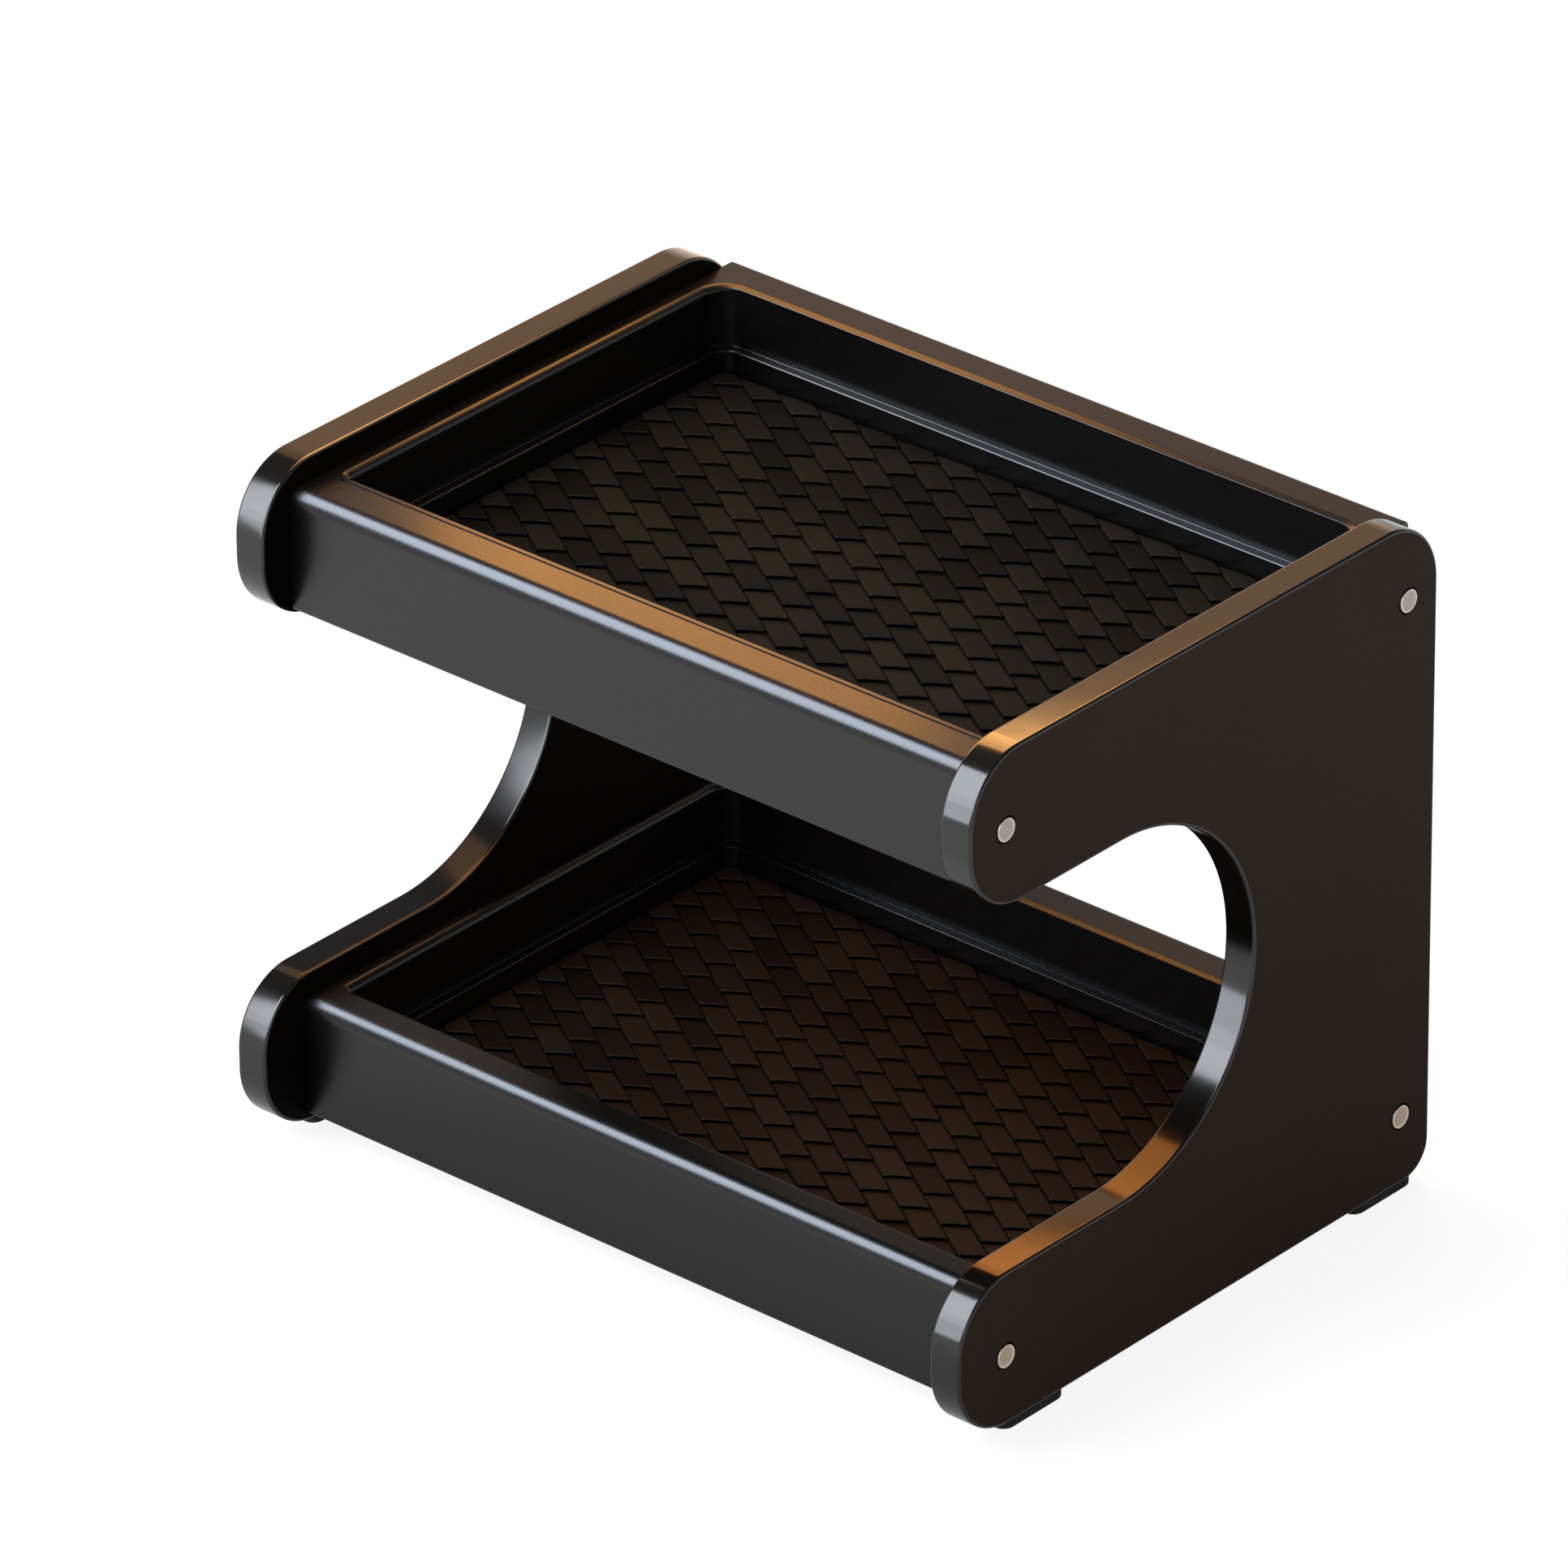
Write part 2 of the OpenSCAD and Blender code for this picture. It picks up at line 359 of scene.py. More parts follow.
boardFinish = {
    "dark": (0.0300, 0.0165, 0.0090),
    "light": (0.0400, 0.0225, 0.0125),
    "rough": 0.46,
    "specular": 0.06,
    "cloud": (7, 4, 0.6),  # scale, detail, roughness
    "peel": (700, 3, 0.55),
    "peelDepth": 0.020,
    "dust": (1400, 3, 0.7),
    "dustDepth": 0.006,
}


def boardFace():  # satin lacquer on the flat faces of the panels
    look = boardFinish
    material, web, coords = newFinish("satinLacquer")
    cloud = noise(web, coords, *look["cloud"])
    peel = noise(web, coords, *look["peel"])
    dust = noise(web, coords, *look["dust"])
    share = cloud * 0.55 + dust * 0.45
    return coat(material, web, {
        "Base Color": toned(web, web.between(share, 0.36, 0.64), look),
        "Roughness": look["rough"] + (cloud - 0.5) * 0.08 + (peel - 0.5) * 0.10,
        "Specular IOR Level": look["specular"],
        "Normal": bump(web, dust, look["dustDepth"], 0.6, bump(web, peel, look["peelDepth"], 1.0)),
    })


shadedInnerFinish = {  # the panels' lacquer painted near-black on the inner faces and in the holes: painted shade
    "dark": (0.0022, 0.0018, 0.0014),
    "light": (0.0042, 0.0034, 0.0027),
    "metallic": 0.0,
    "rough": 0.5,
    "roughSpread": 0.10,
    "specular": 0.03,
    "cloud": (9, 3, 0.6),
    "grain": (700, 3, 0.55),
    "grainDepth": 0.020,
    "grainStrength": 1.0,
}

edgeFinish = {
    "dark": (0.0052, 0.0048, 0.0042),
    "light": (0.0078, 0.0070, 0.0060),
    "rough": 0.13,
    "specular": 0.50,
    "smear": (60, 3, 0.6),
    "wave": (95, 1, 0.4),
    "waveDepth": 0.02,
    "fine": (1500, 2, 0.5),
    "fineDepth": 0.002,
}


def boardEdge():  # polished lacquer on the edges of the panels
    look = edgeFinish
    material, web, coords = newFinish("polishedLacquer")
    smear = noise(web, coords, *look["smear"])
    wave = noise(web, coords, *look["wave"])
    fine = noise(web, coords, *look["fine"])
    return coat(material, web, {
        "Base Color": toned(web, smear, look),
        "Roughness": look["rough"] + (smear - 0.5) * 0.06,
        "Specular IOR Level": look["specular"],
        "Normal": bump(web, fine, look["fineDepth"], 0.5, bump(web, wave, look["waveDepth"], 1.0)),
    })


trayFinish = {
    "dark": (0.0028, 0.0026, 0.0023),
    "light": (0.0046, 0.0042, 0.0037),
    "rough": 0.28,
    "specular": 0.45,
    "cloud": (11, 3, 0.6),
    "grain": (1500, 2, 0.6),
    "grainDepth": 0.012,
    "flow": (160, 2, 0.5),
    "flowDepth": 0.005,
}


def trayPlastic():  # fine-grained moulded plastic
    look = trayFinish
    material, web, coords = newFinish("mouldedPlastic")
    cloud = noise(web, coords, *look["cloud"])
    grain = noise(web, coords, *look["grain"])
    flow = noise(web, coords, *look["flow"])
    return coat(material, web, {
        "Base Color": toned(web, web.between(cloud, 0.3, 0.7), look),
        "Roughness": look["rough"] + (grain - 0.5) * 0.12 + (cloud - 0.5) * 0.05,
        "Specular IOR Level": look["specular"],
        "Normal": bump(web, grain, look["grainDepth"], 0.8, bump(web, flow, look["flowDepth"], 0.5)),
    })


matFinish = {
    "dark": (0.0050, 0.0035, 0.0020),
    "light": (0.0128, 0.0092, 0.0054),
    "worn": (0.030, 0.022, 0.015),
    "rough": 0.58,
    "specular": 0.07,
    "cloud": (45, 3, 0.6),
    "poreScale": 1300,
    "poreDepth": 0.03,
    "crease": (650, 4, 0.65),
    "creaseDepth": 0.06,
}


def matRubber():  # leather-grained rubber, each plait a little different
    look = matFinish
    material, web, coords = newFinish("wovenRubber")
    plait = web.node("ShaderNodeAttribute", {"attribute_name": "plaitTone"}, None, out=2)
    cloud = noise(web, coords, *look["cloud"])
    pores = web.node("ShaderNodeTexVoronoi", {"feature": "F1"}, {
        "Vector": coords, "Scale": look["poreScale"]})
    creases = noise(web, coords, *look["crease"])
    tone = toned(web, web.between(plait * 0.6 + cloud * 0.4, 0.2, 0.8), look)
    worn = web.between(creases, 0.55, 0.85) * 0.25
    pitted = bump(web, pores, look["poreDepth"], 0.5)
    return coat(material, web, {
        "Base Color": web.mixed(worn, tone, rgb(*look["worn"])),
        "Roughness": look["rough"] + (creases - 0.5) * 0.20 + (plait - 0.5) * 0.06,
        "Specular IOR Level": look["specular"],
        "Normal": bump(web, creases, look["creaseDepth"], 0.8, pitted),
    })


capFinish = {
    "dark": (0.29, 0.265, 0.235),
    "light": (0.41, 0.38, 0.345),
    # rim: a brighter colour painted on the cap's rim, a painted highlight
    "rim": (0.55, 0.515, 0.485),
    "rimHighlightReach": (3.1, 4.1),  # radii between which the dish turns into the rim's painted highlight
    "rough": 0.42,
    "ringScale": 1.1,
    "ringDepth": 0.008,
    "cloud": (900, 3, 0.6),
    "cloudDepth": 0.01,
}


def capSteel():  # satin steel, turned in fine rings, with a painted highlight on its rim
    look = capFinish
    material, web, coords = newFinish("satinSteel")
    reach = web.node("ShaderNodeAttribute", {"attribute_name": "fromAxis"}, None, out=2)
    rings = web.node("ShaderNodeTexWave", {"wave_type": "BANDS", "bands_direction": "X"}, {
        "Vector": web.node("ShaderNodeCombineXYZ", None, {0: reach}),
        "Scale": look["ringScale"],
        "Distortion": 0.6,
    })
    cloud = noise(web, coords, *look["cloud"])
    # the rim's lighter colour is a painted highlight
    rim = web.between(reach, *look["rimHighlightReach"])
    return coat(material, web, {
        "Base Color": web.mixed(rim, toned(web, cloud, look), rgb(*look["rim"])),
        "Metallic": 1.0,
        "Roughness": look["rough"] + (cloud - 0.5) * 0.14 + (rings - 0.5) * 0.05,
        "Normal": bump(web, rings, look["ringDepth"], 0.7, bump(web, cloud, look["cloudDepth"], 0.5)),
    })


screwFinish = {  # zinc-plated steel inside the panels
    "dark": (0.42, 0.43, 0.45),
    "light": (0.60, 0.61, 0.62),
    "metallic": 1.0,
    "rough": 0.30,
    "roughSpread": 0.2,
    "specular": 0.5,
    "cloud": (350, 4, 0.6),
    "grain": (2400, 2, 0.6),
    "grainDepth": 0.006,
    "grainStrength": 0.6,
}

insertFinish = {
    "dark": (0.45, 0.30, 0.11),
    "light": (0.68, 0.48, 0.19),
    "rough": 0.34,
    "cloud": (420, 4, 0.6),
    "line": (2400, 2, 0.6),
    "lineDepth": 0.008,
}


def insertBrass():
    look = insertFinish
    material, web, coords = newFinish("turnedBrass")
    cloud = noise(web, coords, *look["cloud"])
    lines = noise(web, coords, *look["line"])
    return coat(material, web, {
        "Base Color": toned(web, cloud, look),
        "Metallic": 1.0,
        "Roughness": look["rough"] + (cloud - 0.5) * 0.2,
        "Normal": bump(web, lines, look["lineDepth"], 0.6),
    })


padFinish = {  # black rubber under the panels
    "dark": (0.006, 0.006, 0.006),
    "light": (0.013, 0.012, 0.011),
    "metallic": 0.0,
    "rough": 0.72,
    "roughSpread": 0.2,
    "specular": 0.35,
    "cloud": (60, 3, 0.6),
    "grain": (1100, 3, 0.6),
    "grainDepth": 0.05,
    "grainStrength": 0.7,
}

finishes = {
    "boardFace": boardFace(),
    "boardEdge": boardEdge(),
    "boardShadedInner": evenFinish("blackLacquer", shadedInnerFinish),
    "trayPlastic": trayPlastic(),
    "matRubber": matRubber(),
    "capSteel": capSteel(),
    "screwSteel": evenFinish("platedSteel", screwFinish),
    "insertBrass": insertBrass(),
    "footRubber": evenFinish("footRubber", padFinish),
}
print("finishes mixed:", len(finishes))


# Mesh helpers

def metres(parts):
    return [part * mm for part in parts]


def boxMm(node):
    low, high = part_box(node)
    return low / mm, high / mm


def middle(node):
    low, high = boxMm(node)
    return (low + high) / 2


def makePiece(name, points, faces, materials):
    mesh = bpy.data.meshes.new(name)
    mesh.from_pydata([Vector(point) * mm for point in points], [], faces)
    for material in materials:
        mesh.materials.append(finishes[material])
    piece = bpy.data.objects.new(name, mesh)
    bpy.context.scene.collection.objects.link(piece)
    return piece


def facesOut(mesh):
    shape = bmesh.new()
    shape.from_mesh(mesh)
    bmesh.ops.recalc_face_normals(shape, faces=shape.faces)
    shape.to_mesh(mesh)
    shape.free()


def smoothShade(piece, angle):  # flats stay flat, rounded edges run smooth
    shape = bmesh.new()
    shape.from_mesh(piece.data)
    for face in shape.faces:
        face.smooth = True
    for edge in shape.edges:
        edge.smooth = len(edge.link_faces) == 2 and edge.calc_face_angle(0) < math.radians(angle)
    shape.to_mesh(piece.data)
    shape.free()
    weighted = piece.modifiers.new("weightedNormals", "WEIGHTED_NORMAL")
    weighted.keep_sharp = True
    weighted.weight = 50


def settle(piece):  # the modifiers' result becomes a plain mesh
    graph = bpy.context.evaluated_depsgraph_get()
    settled = bpy.data.meshes.new_from_object(piece.evaluated_get(graph), depsgraph=graph)
    settled.name = piece.name
    before = piece.data
    piece.modifiers.clear()
    piece.data = settled
    bpy.data.meshes.remove(before)
    return piece


def hand(piece, body, slot, nodes):
    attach(piece, body)
    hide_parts(*nodes)
    for name, lamp in lamps.items():
        if slot in (lamp["mirroredIn"] or []):
            bpy.data.collections[name + "Mirrors"].objects.link(piece)


# Outlines, drawn as lists of points

def arcRun(centre, radius, start, end, step):  # points with their outward directions, in degrees
    count = max(1, math.ceil(abs(end - start) / step))
    run = []
    for index in range(count + 1):
        angle = math.radians(start + (end - start) * index / count)
        across, up = math.cos(angle), math.sin(angle)
        run.append((centre[0] + radius * across, centre[1] + radius * up, across, up))
    return run


def uprightRing(run, x, inset=0):  # the outline's two numbers are depth and height
    return [(x, y - outY * inset, z - outZ * inset) for y, z, outY, outZ in run]


def flatRing(run, z):  # the outline's two numbers are width and depth
    return [(x, y, z) for x, y, outX, outY in run]


def roundRing(x, centre, radius, sides):
    return uprightRing(arcRun(centre, radius, 0, 360, 360 / sides)[:-1], x)


def quarterTurn(steps):  # angles from 0 to 90 degrees
    return [math.radians(90 * index / steps) for index in range(steps + 1)]


def cornerBox(low, high, radii, step):  # a rounded rectangle, from its low-low corner round
    runs = []
    corners = [
        (low[0], low[1], 1, 1, 180),
        (high[0], low[1], -1, 1, 270),
        (high[0], high[1], -1, -1, 0),
        (low[0], high[1], 1, -1, 90),
    ]
    for (x, y, inX, inY, start), radius in zip(corners, radii):
        runs += arcRun((x + inX * radius, y + inY * radius), radius, start, start + 90, step)
    return runs


def loft(rings):  # a closed shape through rings of equal length
    count = len(rings[0])
    points = [point for ring in rings for point in ring]
    faces = []
    for level in range(len(rings) - 1):
        for index in range(count):
            following = (index + 1) % count
            low, high = level * count, (level + 1) * count
            faces.append((low + index, low + following, high + following, high + index))
    faces.append(tuple(range(count)))
    faces.append(tuple(range(len(points) - count, len(points))))
    return points, faces


def loftPiece(name, rings, material):
    points, faces = loft(rings)
    piece = makePiece(name, points, faces, [material])
    facesOut(piece.data)
    return piece


# Side panels: a C outline with rounded edges, two finishes, the inner faces and holes painted near-black
# as painted shade, four stepped screw holes

panel = {
    "armHeight": 62,
    "armRadius": 27,
    "armSetback": 6.5,
    "uprightDepth": 101,
    "rearTopRadius": 28,
    "rearLowRadius": 13,
    "edgeRound": 1.2,
    "edgeSteps": 5,
    "arcStep": 2.5,
    "capHole": (5.15, 1.3),  # radius, depth
    "headHole": (4.6, 5.8),
    "shankRadius": 2.3,
    "mouthRound": 0.2,
    "holeSides": 48,
    "smoothAngle": 40,
}
sideSigns = {"left": -1, "right": 1}  # the way along X that each side's outer face looks


def panelOutline(low, high):  # depth and height, with directions out of the board
    step = panel["arcStep"]
    radius = panel["armRadius"]
    arm = panel["armHeight"]
    front, back, bottom, top = low.y, high.y, low.z, high.z
    upperFront = front + panel["armSetback"]
    cutRadius = (top - bottom) / 2 - arm
    cutY = back - panel["uprightDepth"] - cutRadius
    rearTop, rearLow = panel["rearTopRadius"], panel["rearLowRadius"]
    run = arcRun((front + radius, bottom + radius), radius, 270, 180, step)
    run += arcRun((front + radius, bottom + arm - radius), radius, 180, 90, step)
    hollow = arcRun((cutY, (top + bottom) / 2), cutRadius, 270, 450, step)
    run += [(y, z, -outY, -outZ) for y, z, outY, outZ in hollow]
    run += arcRun((upperFront + radius, top - arm + radius), radius, 270, 180, step)
    run += arcRun((upperFront + radius, top - radius), radius, 180, 90, step)
    run += arcRun((back - rearTop, top - rearTop), rearTop, 90, 0, step)
    run += arcRun((back - rearLow, bottom + rearLow), rearLow, 0, -90, step)
    return run


def panelSections(thickness):  # depth from the outer face and inset, from face to face
    edge = panel["edgeRound"]
    turn = quarterTurn(panel["edgeSteps"])
    outer = [(edge * (1 - math.cos(angle)), edge * (1 - math.sin(angle))) for angle in turn]
    inner = [(thickness - depth, inset) for depth, inset in reversed(outer)]
    return outer + inner


def holeProfile(thickness):  # depth from the outer face and radius, through the board
    soft = panel["mouthRound"]
    capRadius, capDepth = panel["capHole"]
    headRadius, headDepth = panel["headHole"]
    return [
        (0, capRadius + soft),
        (soft * 0.3, capRadius + soft * 0.3),  # halfway round the mouth
        (soft, capRadius),
        (capDepth, capRadius),
        (capDepth, headRadius),
        (headDepth, headRadius),
        (headDepth, panel["shankRadius"]),
        (thickness, panel["shankRadius"]),
    ]


def fillFlat(shape, loops):  # a flat face with holes in it
    edges = set()
    for loop in loops:
        for first, second in zip(loop, loop[1:] + loop[:1]):
            edges.add(shape.edges.get((first, second)) or shape.edges.new((first, second)))
    filled = bmesh.ops.triangle_fill(shape, use_beauty=True, use_dissolve=False, edges=list(edges))
    return [item for item in filled["geom"] if isinstance(item, bmesh.types.BMFace)]


def bridge(shape, first, second):
    made = []
    for index in range(len(first)):
        following = (index + 1) % len(first)
        made.append(shape.faces.new((first[index], first[following], second[following], second[index])))
    return made


def makePanel(side):
    node = side + "_side_panel"
    low, high = boxMm(node)
    sign = sideSigns[side]
    outerX = high.x if sign > 0 else low.x
    thickness = high.x - low.x
    outline = panelOutline(low, high)
    shape = bmesh.new()
    rings = []
    for depth, inset in panelSections(thickness):
        ring = uprightRing(outline, outerX - sign * depth, inset)
        rings.append([shape.verts.new(point) for point in ring])
    bands = [face for first, second in zip(rings, rings[1:]) for face in bridge(shape, first, second)]
    outerLoops, innerLoops = [rings[0]], [rings[-1]]
    bores = []
    for level in ("upper", "lower"):
        for end in ("front", "rear"):
            centre = middle("cap_" + side + "_" + level + "_" + end)
            hole = []
            for depth, radius in holeProfile(thickness):
                x = outerX - sign * depth
                ring = roundRing(x, (centre.y, centre.z), radius, panel["holeSides"])
                hole.append([shape.verts.new(point) for point in ring])
            for first, second in zip(hole, hole[1:]):
                bores += bridge(shape, first, second)
            outerLoops.append(hole[0])
            innerLoops.append(hole[-1])
    fillFlat(shape, outerLoops)
    for face in bands:
        face.material_index = 1
    # inner faces and hole walls take the near-black lacquer, which is painted shade
    for face in bores + fillFlat(shape, innerLoops):
        face.material_index = 2
    bmesh.ops.recalc_face_normals(shape, faces=shape.faces)
    bmesh.ops.scale(shape, vec=(mm, mm, mm), verts=shape.verts)
    piece = makePiece(side + "_panel_board", [], [], ["boardFace", "boardEdge", "boardShadedInner"])
    shape.to_mesh(piece.data)
    shape.free()
    smoothShade(piece, panel["smoothAngle"])
    hand(settle(piece), "root", "panel_lacquer", [node])


for panelSide in ("left", "right"):
    makePanel(panelSide)
print("panels shaped")


# Geometry Nodes: parts set out by rule

def newRule(name, inputs):  # a node group with named inputs and one geometry output
    group = bpy.data.node_groups.new(name, "GeometryNodeTree")
    for label, kind in inputs:
        group.interface.new_socket(label, in_out="INPUT", socket_type="NodeSocket" + kind)
    group.interface.new_socket("Geometry", in_out="OUTPUT", socket_type="NodeSocketGeometry")
    web = Web(group)
    entry = group.nodes.new("NodeGroupInput")
    given = {label: Signal(web, entry.outputs[label]) for label, kind in inputs}
    return group, web, given


def followRule(name, group, values, source=None):  # the tree's result as a plain mesh
    piece = bpy.data.objects.new(name, source or bpy.data.meshes.new(name))
    bpy.context.scene.collection.objects.link(piece)
    rule = piece.modifiers.new(name, "NODES")
    rule.node_group = group
    for item in group.interface.items_tree:
        if item.in_out == "INPUT" and item.name in values:
            rule[item.identifier] = values[item.name]
    return settle(piece)


def endRule(web, given, copies):  # plain meshes in the finish asked for
    plain = web.node("GeometryNodeRealizeInstances", None, {0: copies})
    ended = web.node("GeometryNodeSetMaterial", None, {"Geometry": plain, "Material": given["finish"]})
    web.node("NodeGroupOutput", None, {"Geometry": ended})


latticeInputs = [
    ("columns", "Int"), ("rows", "Int"),
    ("first", "Vector"), ("columnStep", "Vector"), ("rowStep", "Vector")]


def latticePlaces(web, given):  # where each copy goes, counted along the rows first
    index = web.node("GeometryNodeInputIndex")
    column = web.node("ShaderNodeMath", {"operation": "FLOOR"}, {0: (index + 0.5) / given["rows"]})
    row = index - column * given["rows"]
    along = web.placed("SCALE", given["columnStep"], column)
    across = web.placed("SCALE", given["rowStep"], row)
    return web.placed("ADD", given["first"], web.placed("ADD", along, across))


def latticeCopies(web, given, places, shape):
    count = given["columns"] * given["rows"]
    dots = web.node("GeometryNodePoints", None, {"Count": count, "Position": places})
    return web.node("GeometryNodeInstanceOnPoints", None, {"Points": dots, "Instance": shape})


def gridRule():  # blocks in columns and rows, used to cut the hollows under a tray
    group, web, given = newRule("hollowGrid", latticeInputs + [("size", "Vector"), ("finish", "Material")])
    places = latticePlaces(web, given)
    block = web.node("GeometryNodeMeshCube", None, {"Size": given["size"]})
    endRule(web, given, latticeCopies(web, given, places, block))
    return group


# Trays: a long rounded section with a stepped well, hollow and ribbed underneath

tray = {
    "rails": {"upper": 21.5, "lower": 15},
    "beads": {"upper": 3.6, "lower": 1.2},
    "frontRims": {"upper": 0.8, "lower": 0.7},
    "endRim": 3.2,
    "rearRim": [  # a bevel, as spread and drop
        (2.7, 0), (2.3, 0.04), (1.9, 0.16), (0.16, 0.8), (0.07, 0.85), (0.02, 0.92), (0, 1)],
    "rimArc": 85,  # degrees of the round rims, a little short of a quarter
    "railHeight": 48,
    "frontRound": 6,
    "rearRound": 3,
    "lowRound": 1.5,
    "rearRail": 16.5,
    "endWall": 8,
    "endChamfer": 0.3,
    "ledgeDrop": 24.5,
    "ledgeWidth": 4,
    "ledgeRound": 0.7,
    "recessDepth": 11.5,
    "fillet": 0.3,
    "floor": 3,
    "shell": 2.8,
    "frontCorner": 3,
    "rearCorner": 10,
    "leastCorner": 1.5,
    "beadDrop": 0.15,
    "beadSeam": (1.3, 0.55),  # width and depth of the line beside the bead
    "ribThickness": 2,
    "ribHeight": 6,
    "crossRibs": 6,
    "longRibs": 2,
    "insertHole": (3.05, 7.2),  # radius, depth
    "insertHoleSides": 40,
    "cornerStep": 7.5,
    "roundSteps": 4,
    "over": 1,
    "weld": 0.002,
    "smoothAngle": 34,
}


def sectionRings(low, high):  # the rails' outline, swept from end to end
    step = tray["cornerStep"]
    radii = (tray["lowRound"], tray["lowRound"], tray["rearRound"], tray["frontRound"])
    run = cornerBox((low.y, high.z - tray["railHeight"]), (high.y, high.z), radii, step)
    chamfer = tray["endChamfer"]
    stations = [(low.x, chamfer), (low.x + chamfer, 0), (high.x - chamfer, 0), (high.x, chamfer)]
    return [uprightRing(run, x, inset) for x, inset in stations]


def wellRun(low, high, level, inset):
    front = low.y + tray["rails"][level] + inset
    rear = high.y - tray["rearRail"] - inset
    half = high.x - tray["endWall"] - inset
    frontRadius = max(tray["frontCorner"] - inset, tray["leastCorner"])
    rearRadius = max(tray["rearCorner"] - inset, tray["leastCorner"])
    radii = (frontRadius, frontRadius, rearRadius, rearRadius)
    return cornerBox((-half, front), (half, rear), radii, tray["cornerStep"])


def quarterRim(radius):  # spread and drop, from the rail's top down to the wall
    steps = len(tray["rearRim"])
    arc = tray["rimArc"]
    turn = [math.radians(arc - arc * index / (steps - 1)) for index in range(steps)]
    return [(radius * (1 - math.cos(angle)), radius * (1 - math.sin(angle))) for angle in turn]


def wellRings(low, high, level):  # from above the rim down to the floor
    frontRim, endRim = quarterRim(tray["frontRims"][level]), quarterRim(tray["endRim"])
    ledge, fillet, soft = tray["ledgeWidth"], tray["fillet"], tray["ledgeRound"]
    rim, ledgeZ = high.z, high.z - tray["ledgeDrop"]
    floorZ = ledgeZ - tray["recessDepth"]
    rimRun = wellRun(low, high, level, 0)

    def flare(step, lift=0):
        ring = []
        for x, y, outX, outY in rimRun:
            side = tray["rearRim"] if outY > 0 else frontRim
            spread, drop = [
                endRim[step][part] * outX ** 2 + side[step][part] * outY ** 2 for part in (0, 1)]
            base = rim - (tray["beadDrop"] * outY ** 2 if outY < 0 else 0)
            ring.append((x + outX * spread, y + outY * spread, base - drop + lift))
        return ring

    turn = quarterTurn(tray["roundSteps"])
    rings = [flare(0, tray["over"])] + [flare(step) for step in range(len(endRim))]
    walls = [(fillet * (1 - math.cos(a)), ledgeZ + fillet * (1 - math.sin(a))) for a in turn]
    walls += [(ledge - soft * (1 - math.sin(a)), ledgeZ - soft * (1 - math.cos(a))) for a in turn]
    walls += [(ledge + fillet * (1 - math.cos(a)), floorZ + fillet * (1 - math.sin(a))) for a in turn]
    for inset, z in walls:
        rings.append(flatRing(wellRun(low, high, level, inset), z))
    return rings


def blockMesh(name, low, high):
    (x0, y0, z0), (x1, y1, z1) = low, high
    corners = [(x, y, z) for z in (z0, z1) for x, y in ((x0, y0), (x1, y0), (x1, y1), (x0, y1))]
    faces = [(0, 1, 2, 3), (4, 5, 6, 7), (0, 1, 5, 4), (1, 2, 6, 5), (2, 3, 7, 6), (3, 0, 4, 7)]
    return makePiece(name, corners, faces, ["trayPlastic"])


def roundHole(name, centre, radius, startX, endX):
    sides = tray["insertHoleSides"]
    rings = [roundRing(x, (centre.y, centre.z), radius, sides) for x in (startX, endX)]
    return loftPiece(name, rings, "trayPlastic")


def cut(piece, tool):
    facesOut(tool.data)
    change = piece.modifiers.new("cut", "BOOLEAN")
    change.operation = "DIFFERENCE"
    change.solver = "EXACT"
    change.object = tool


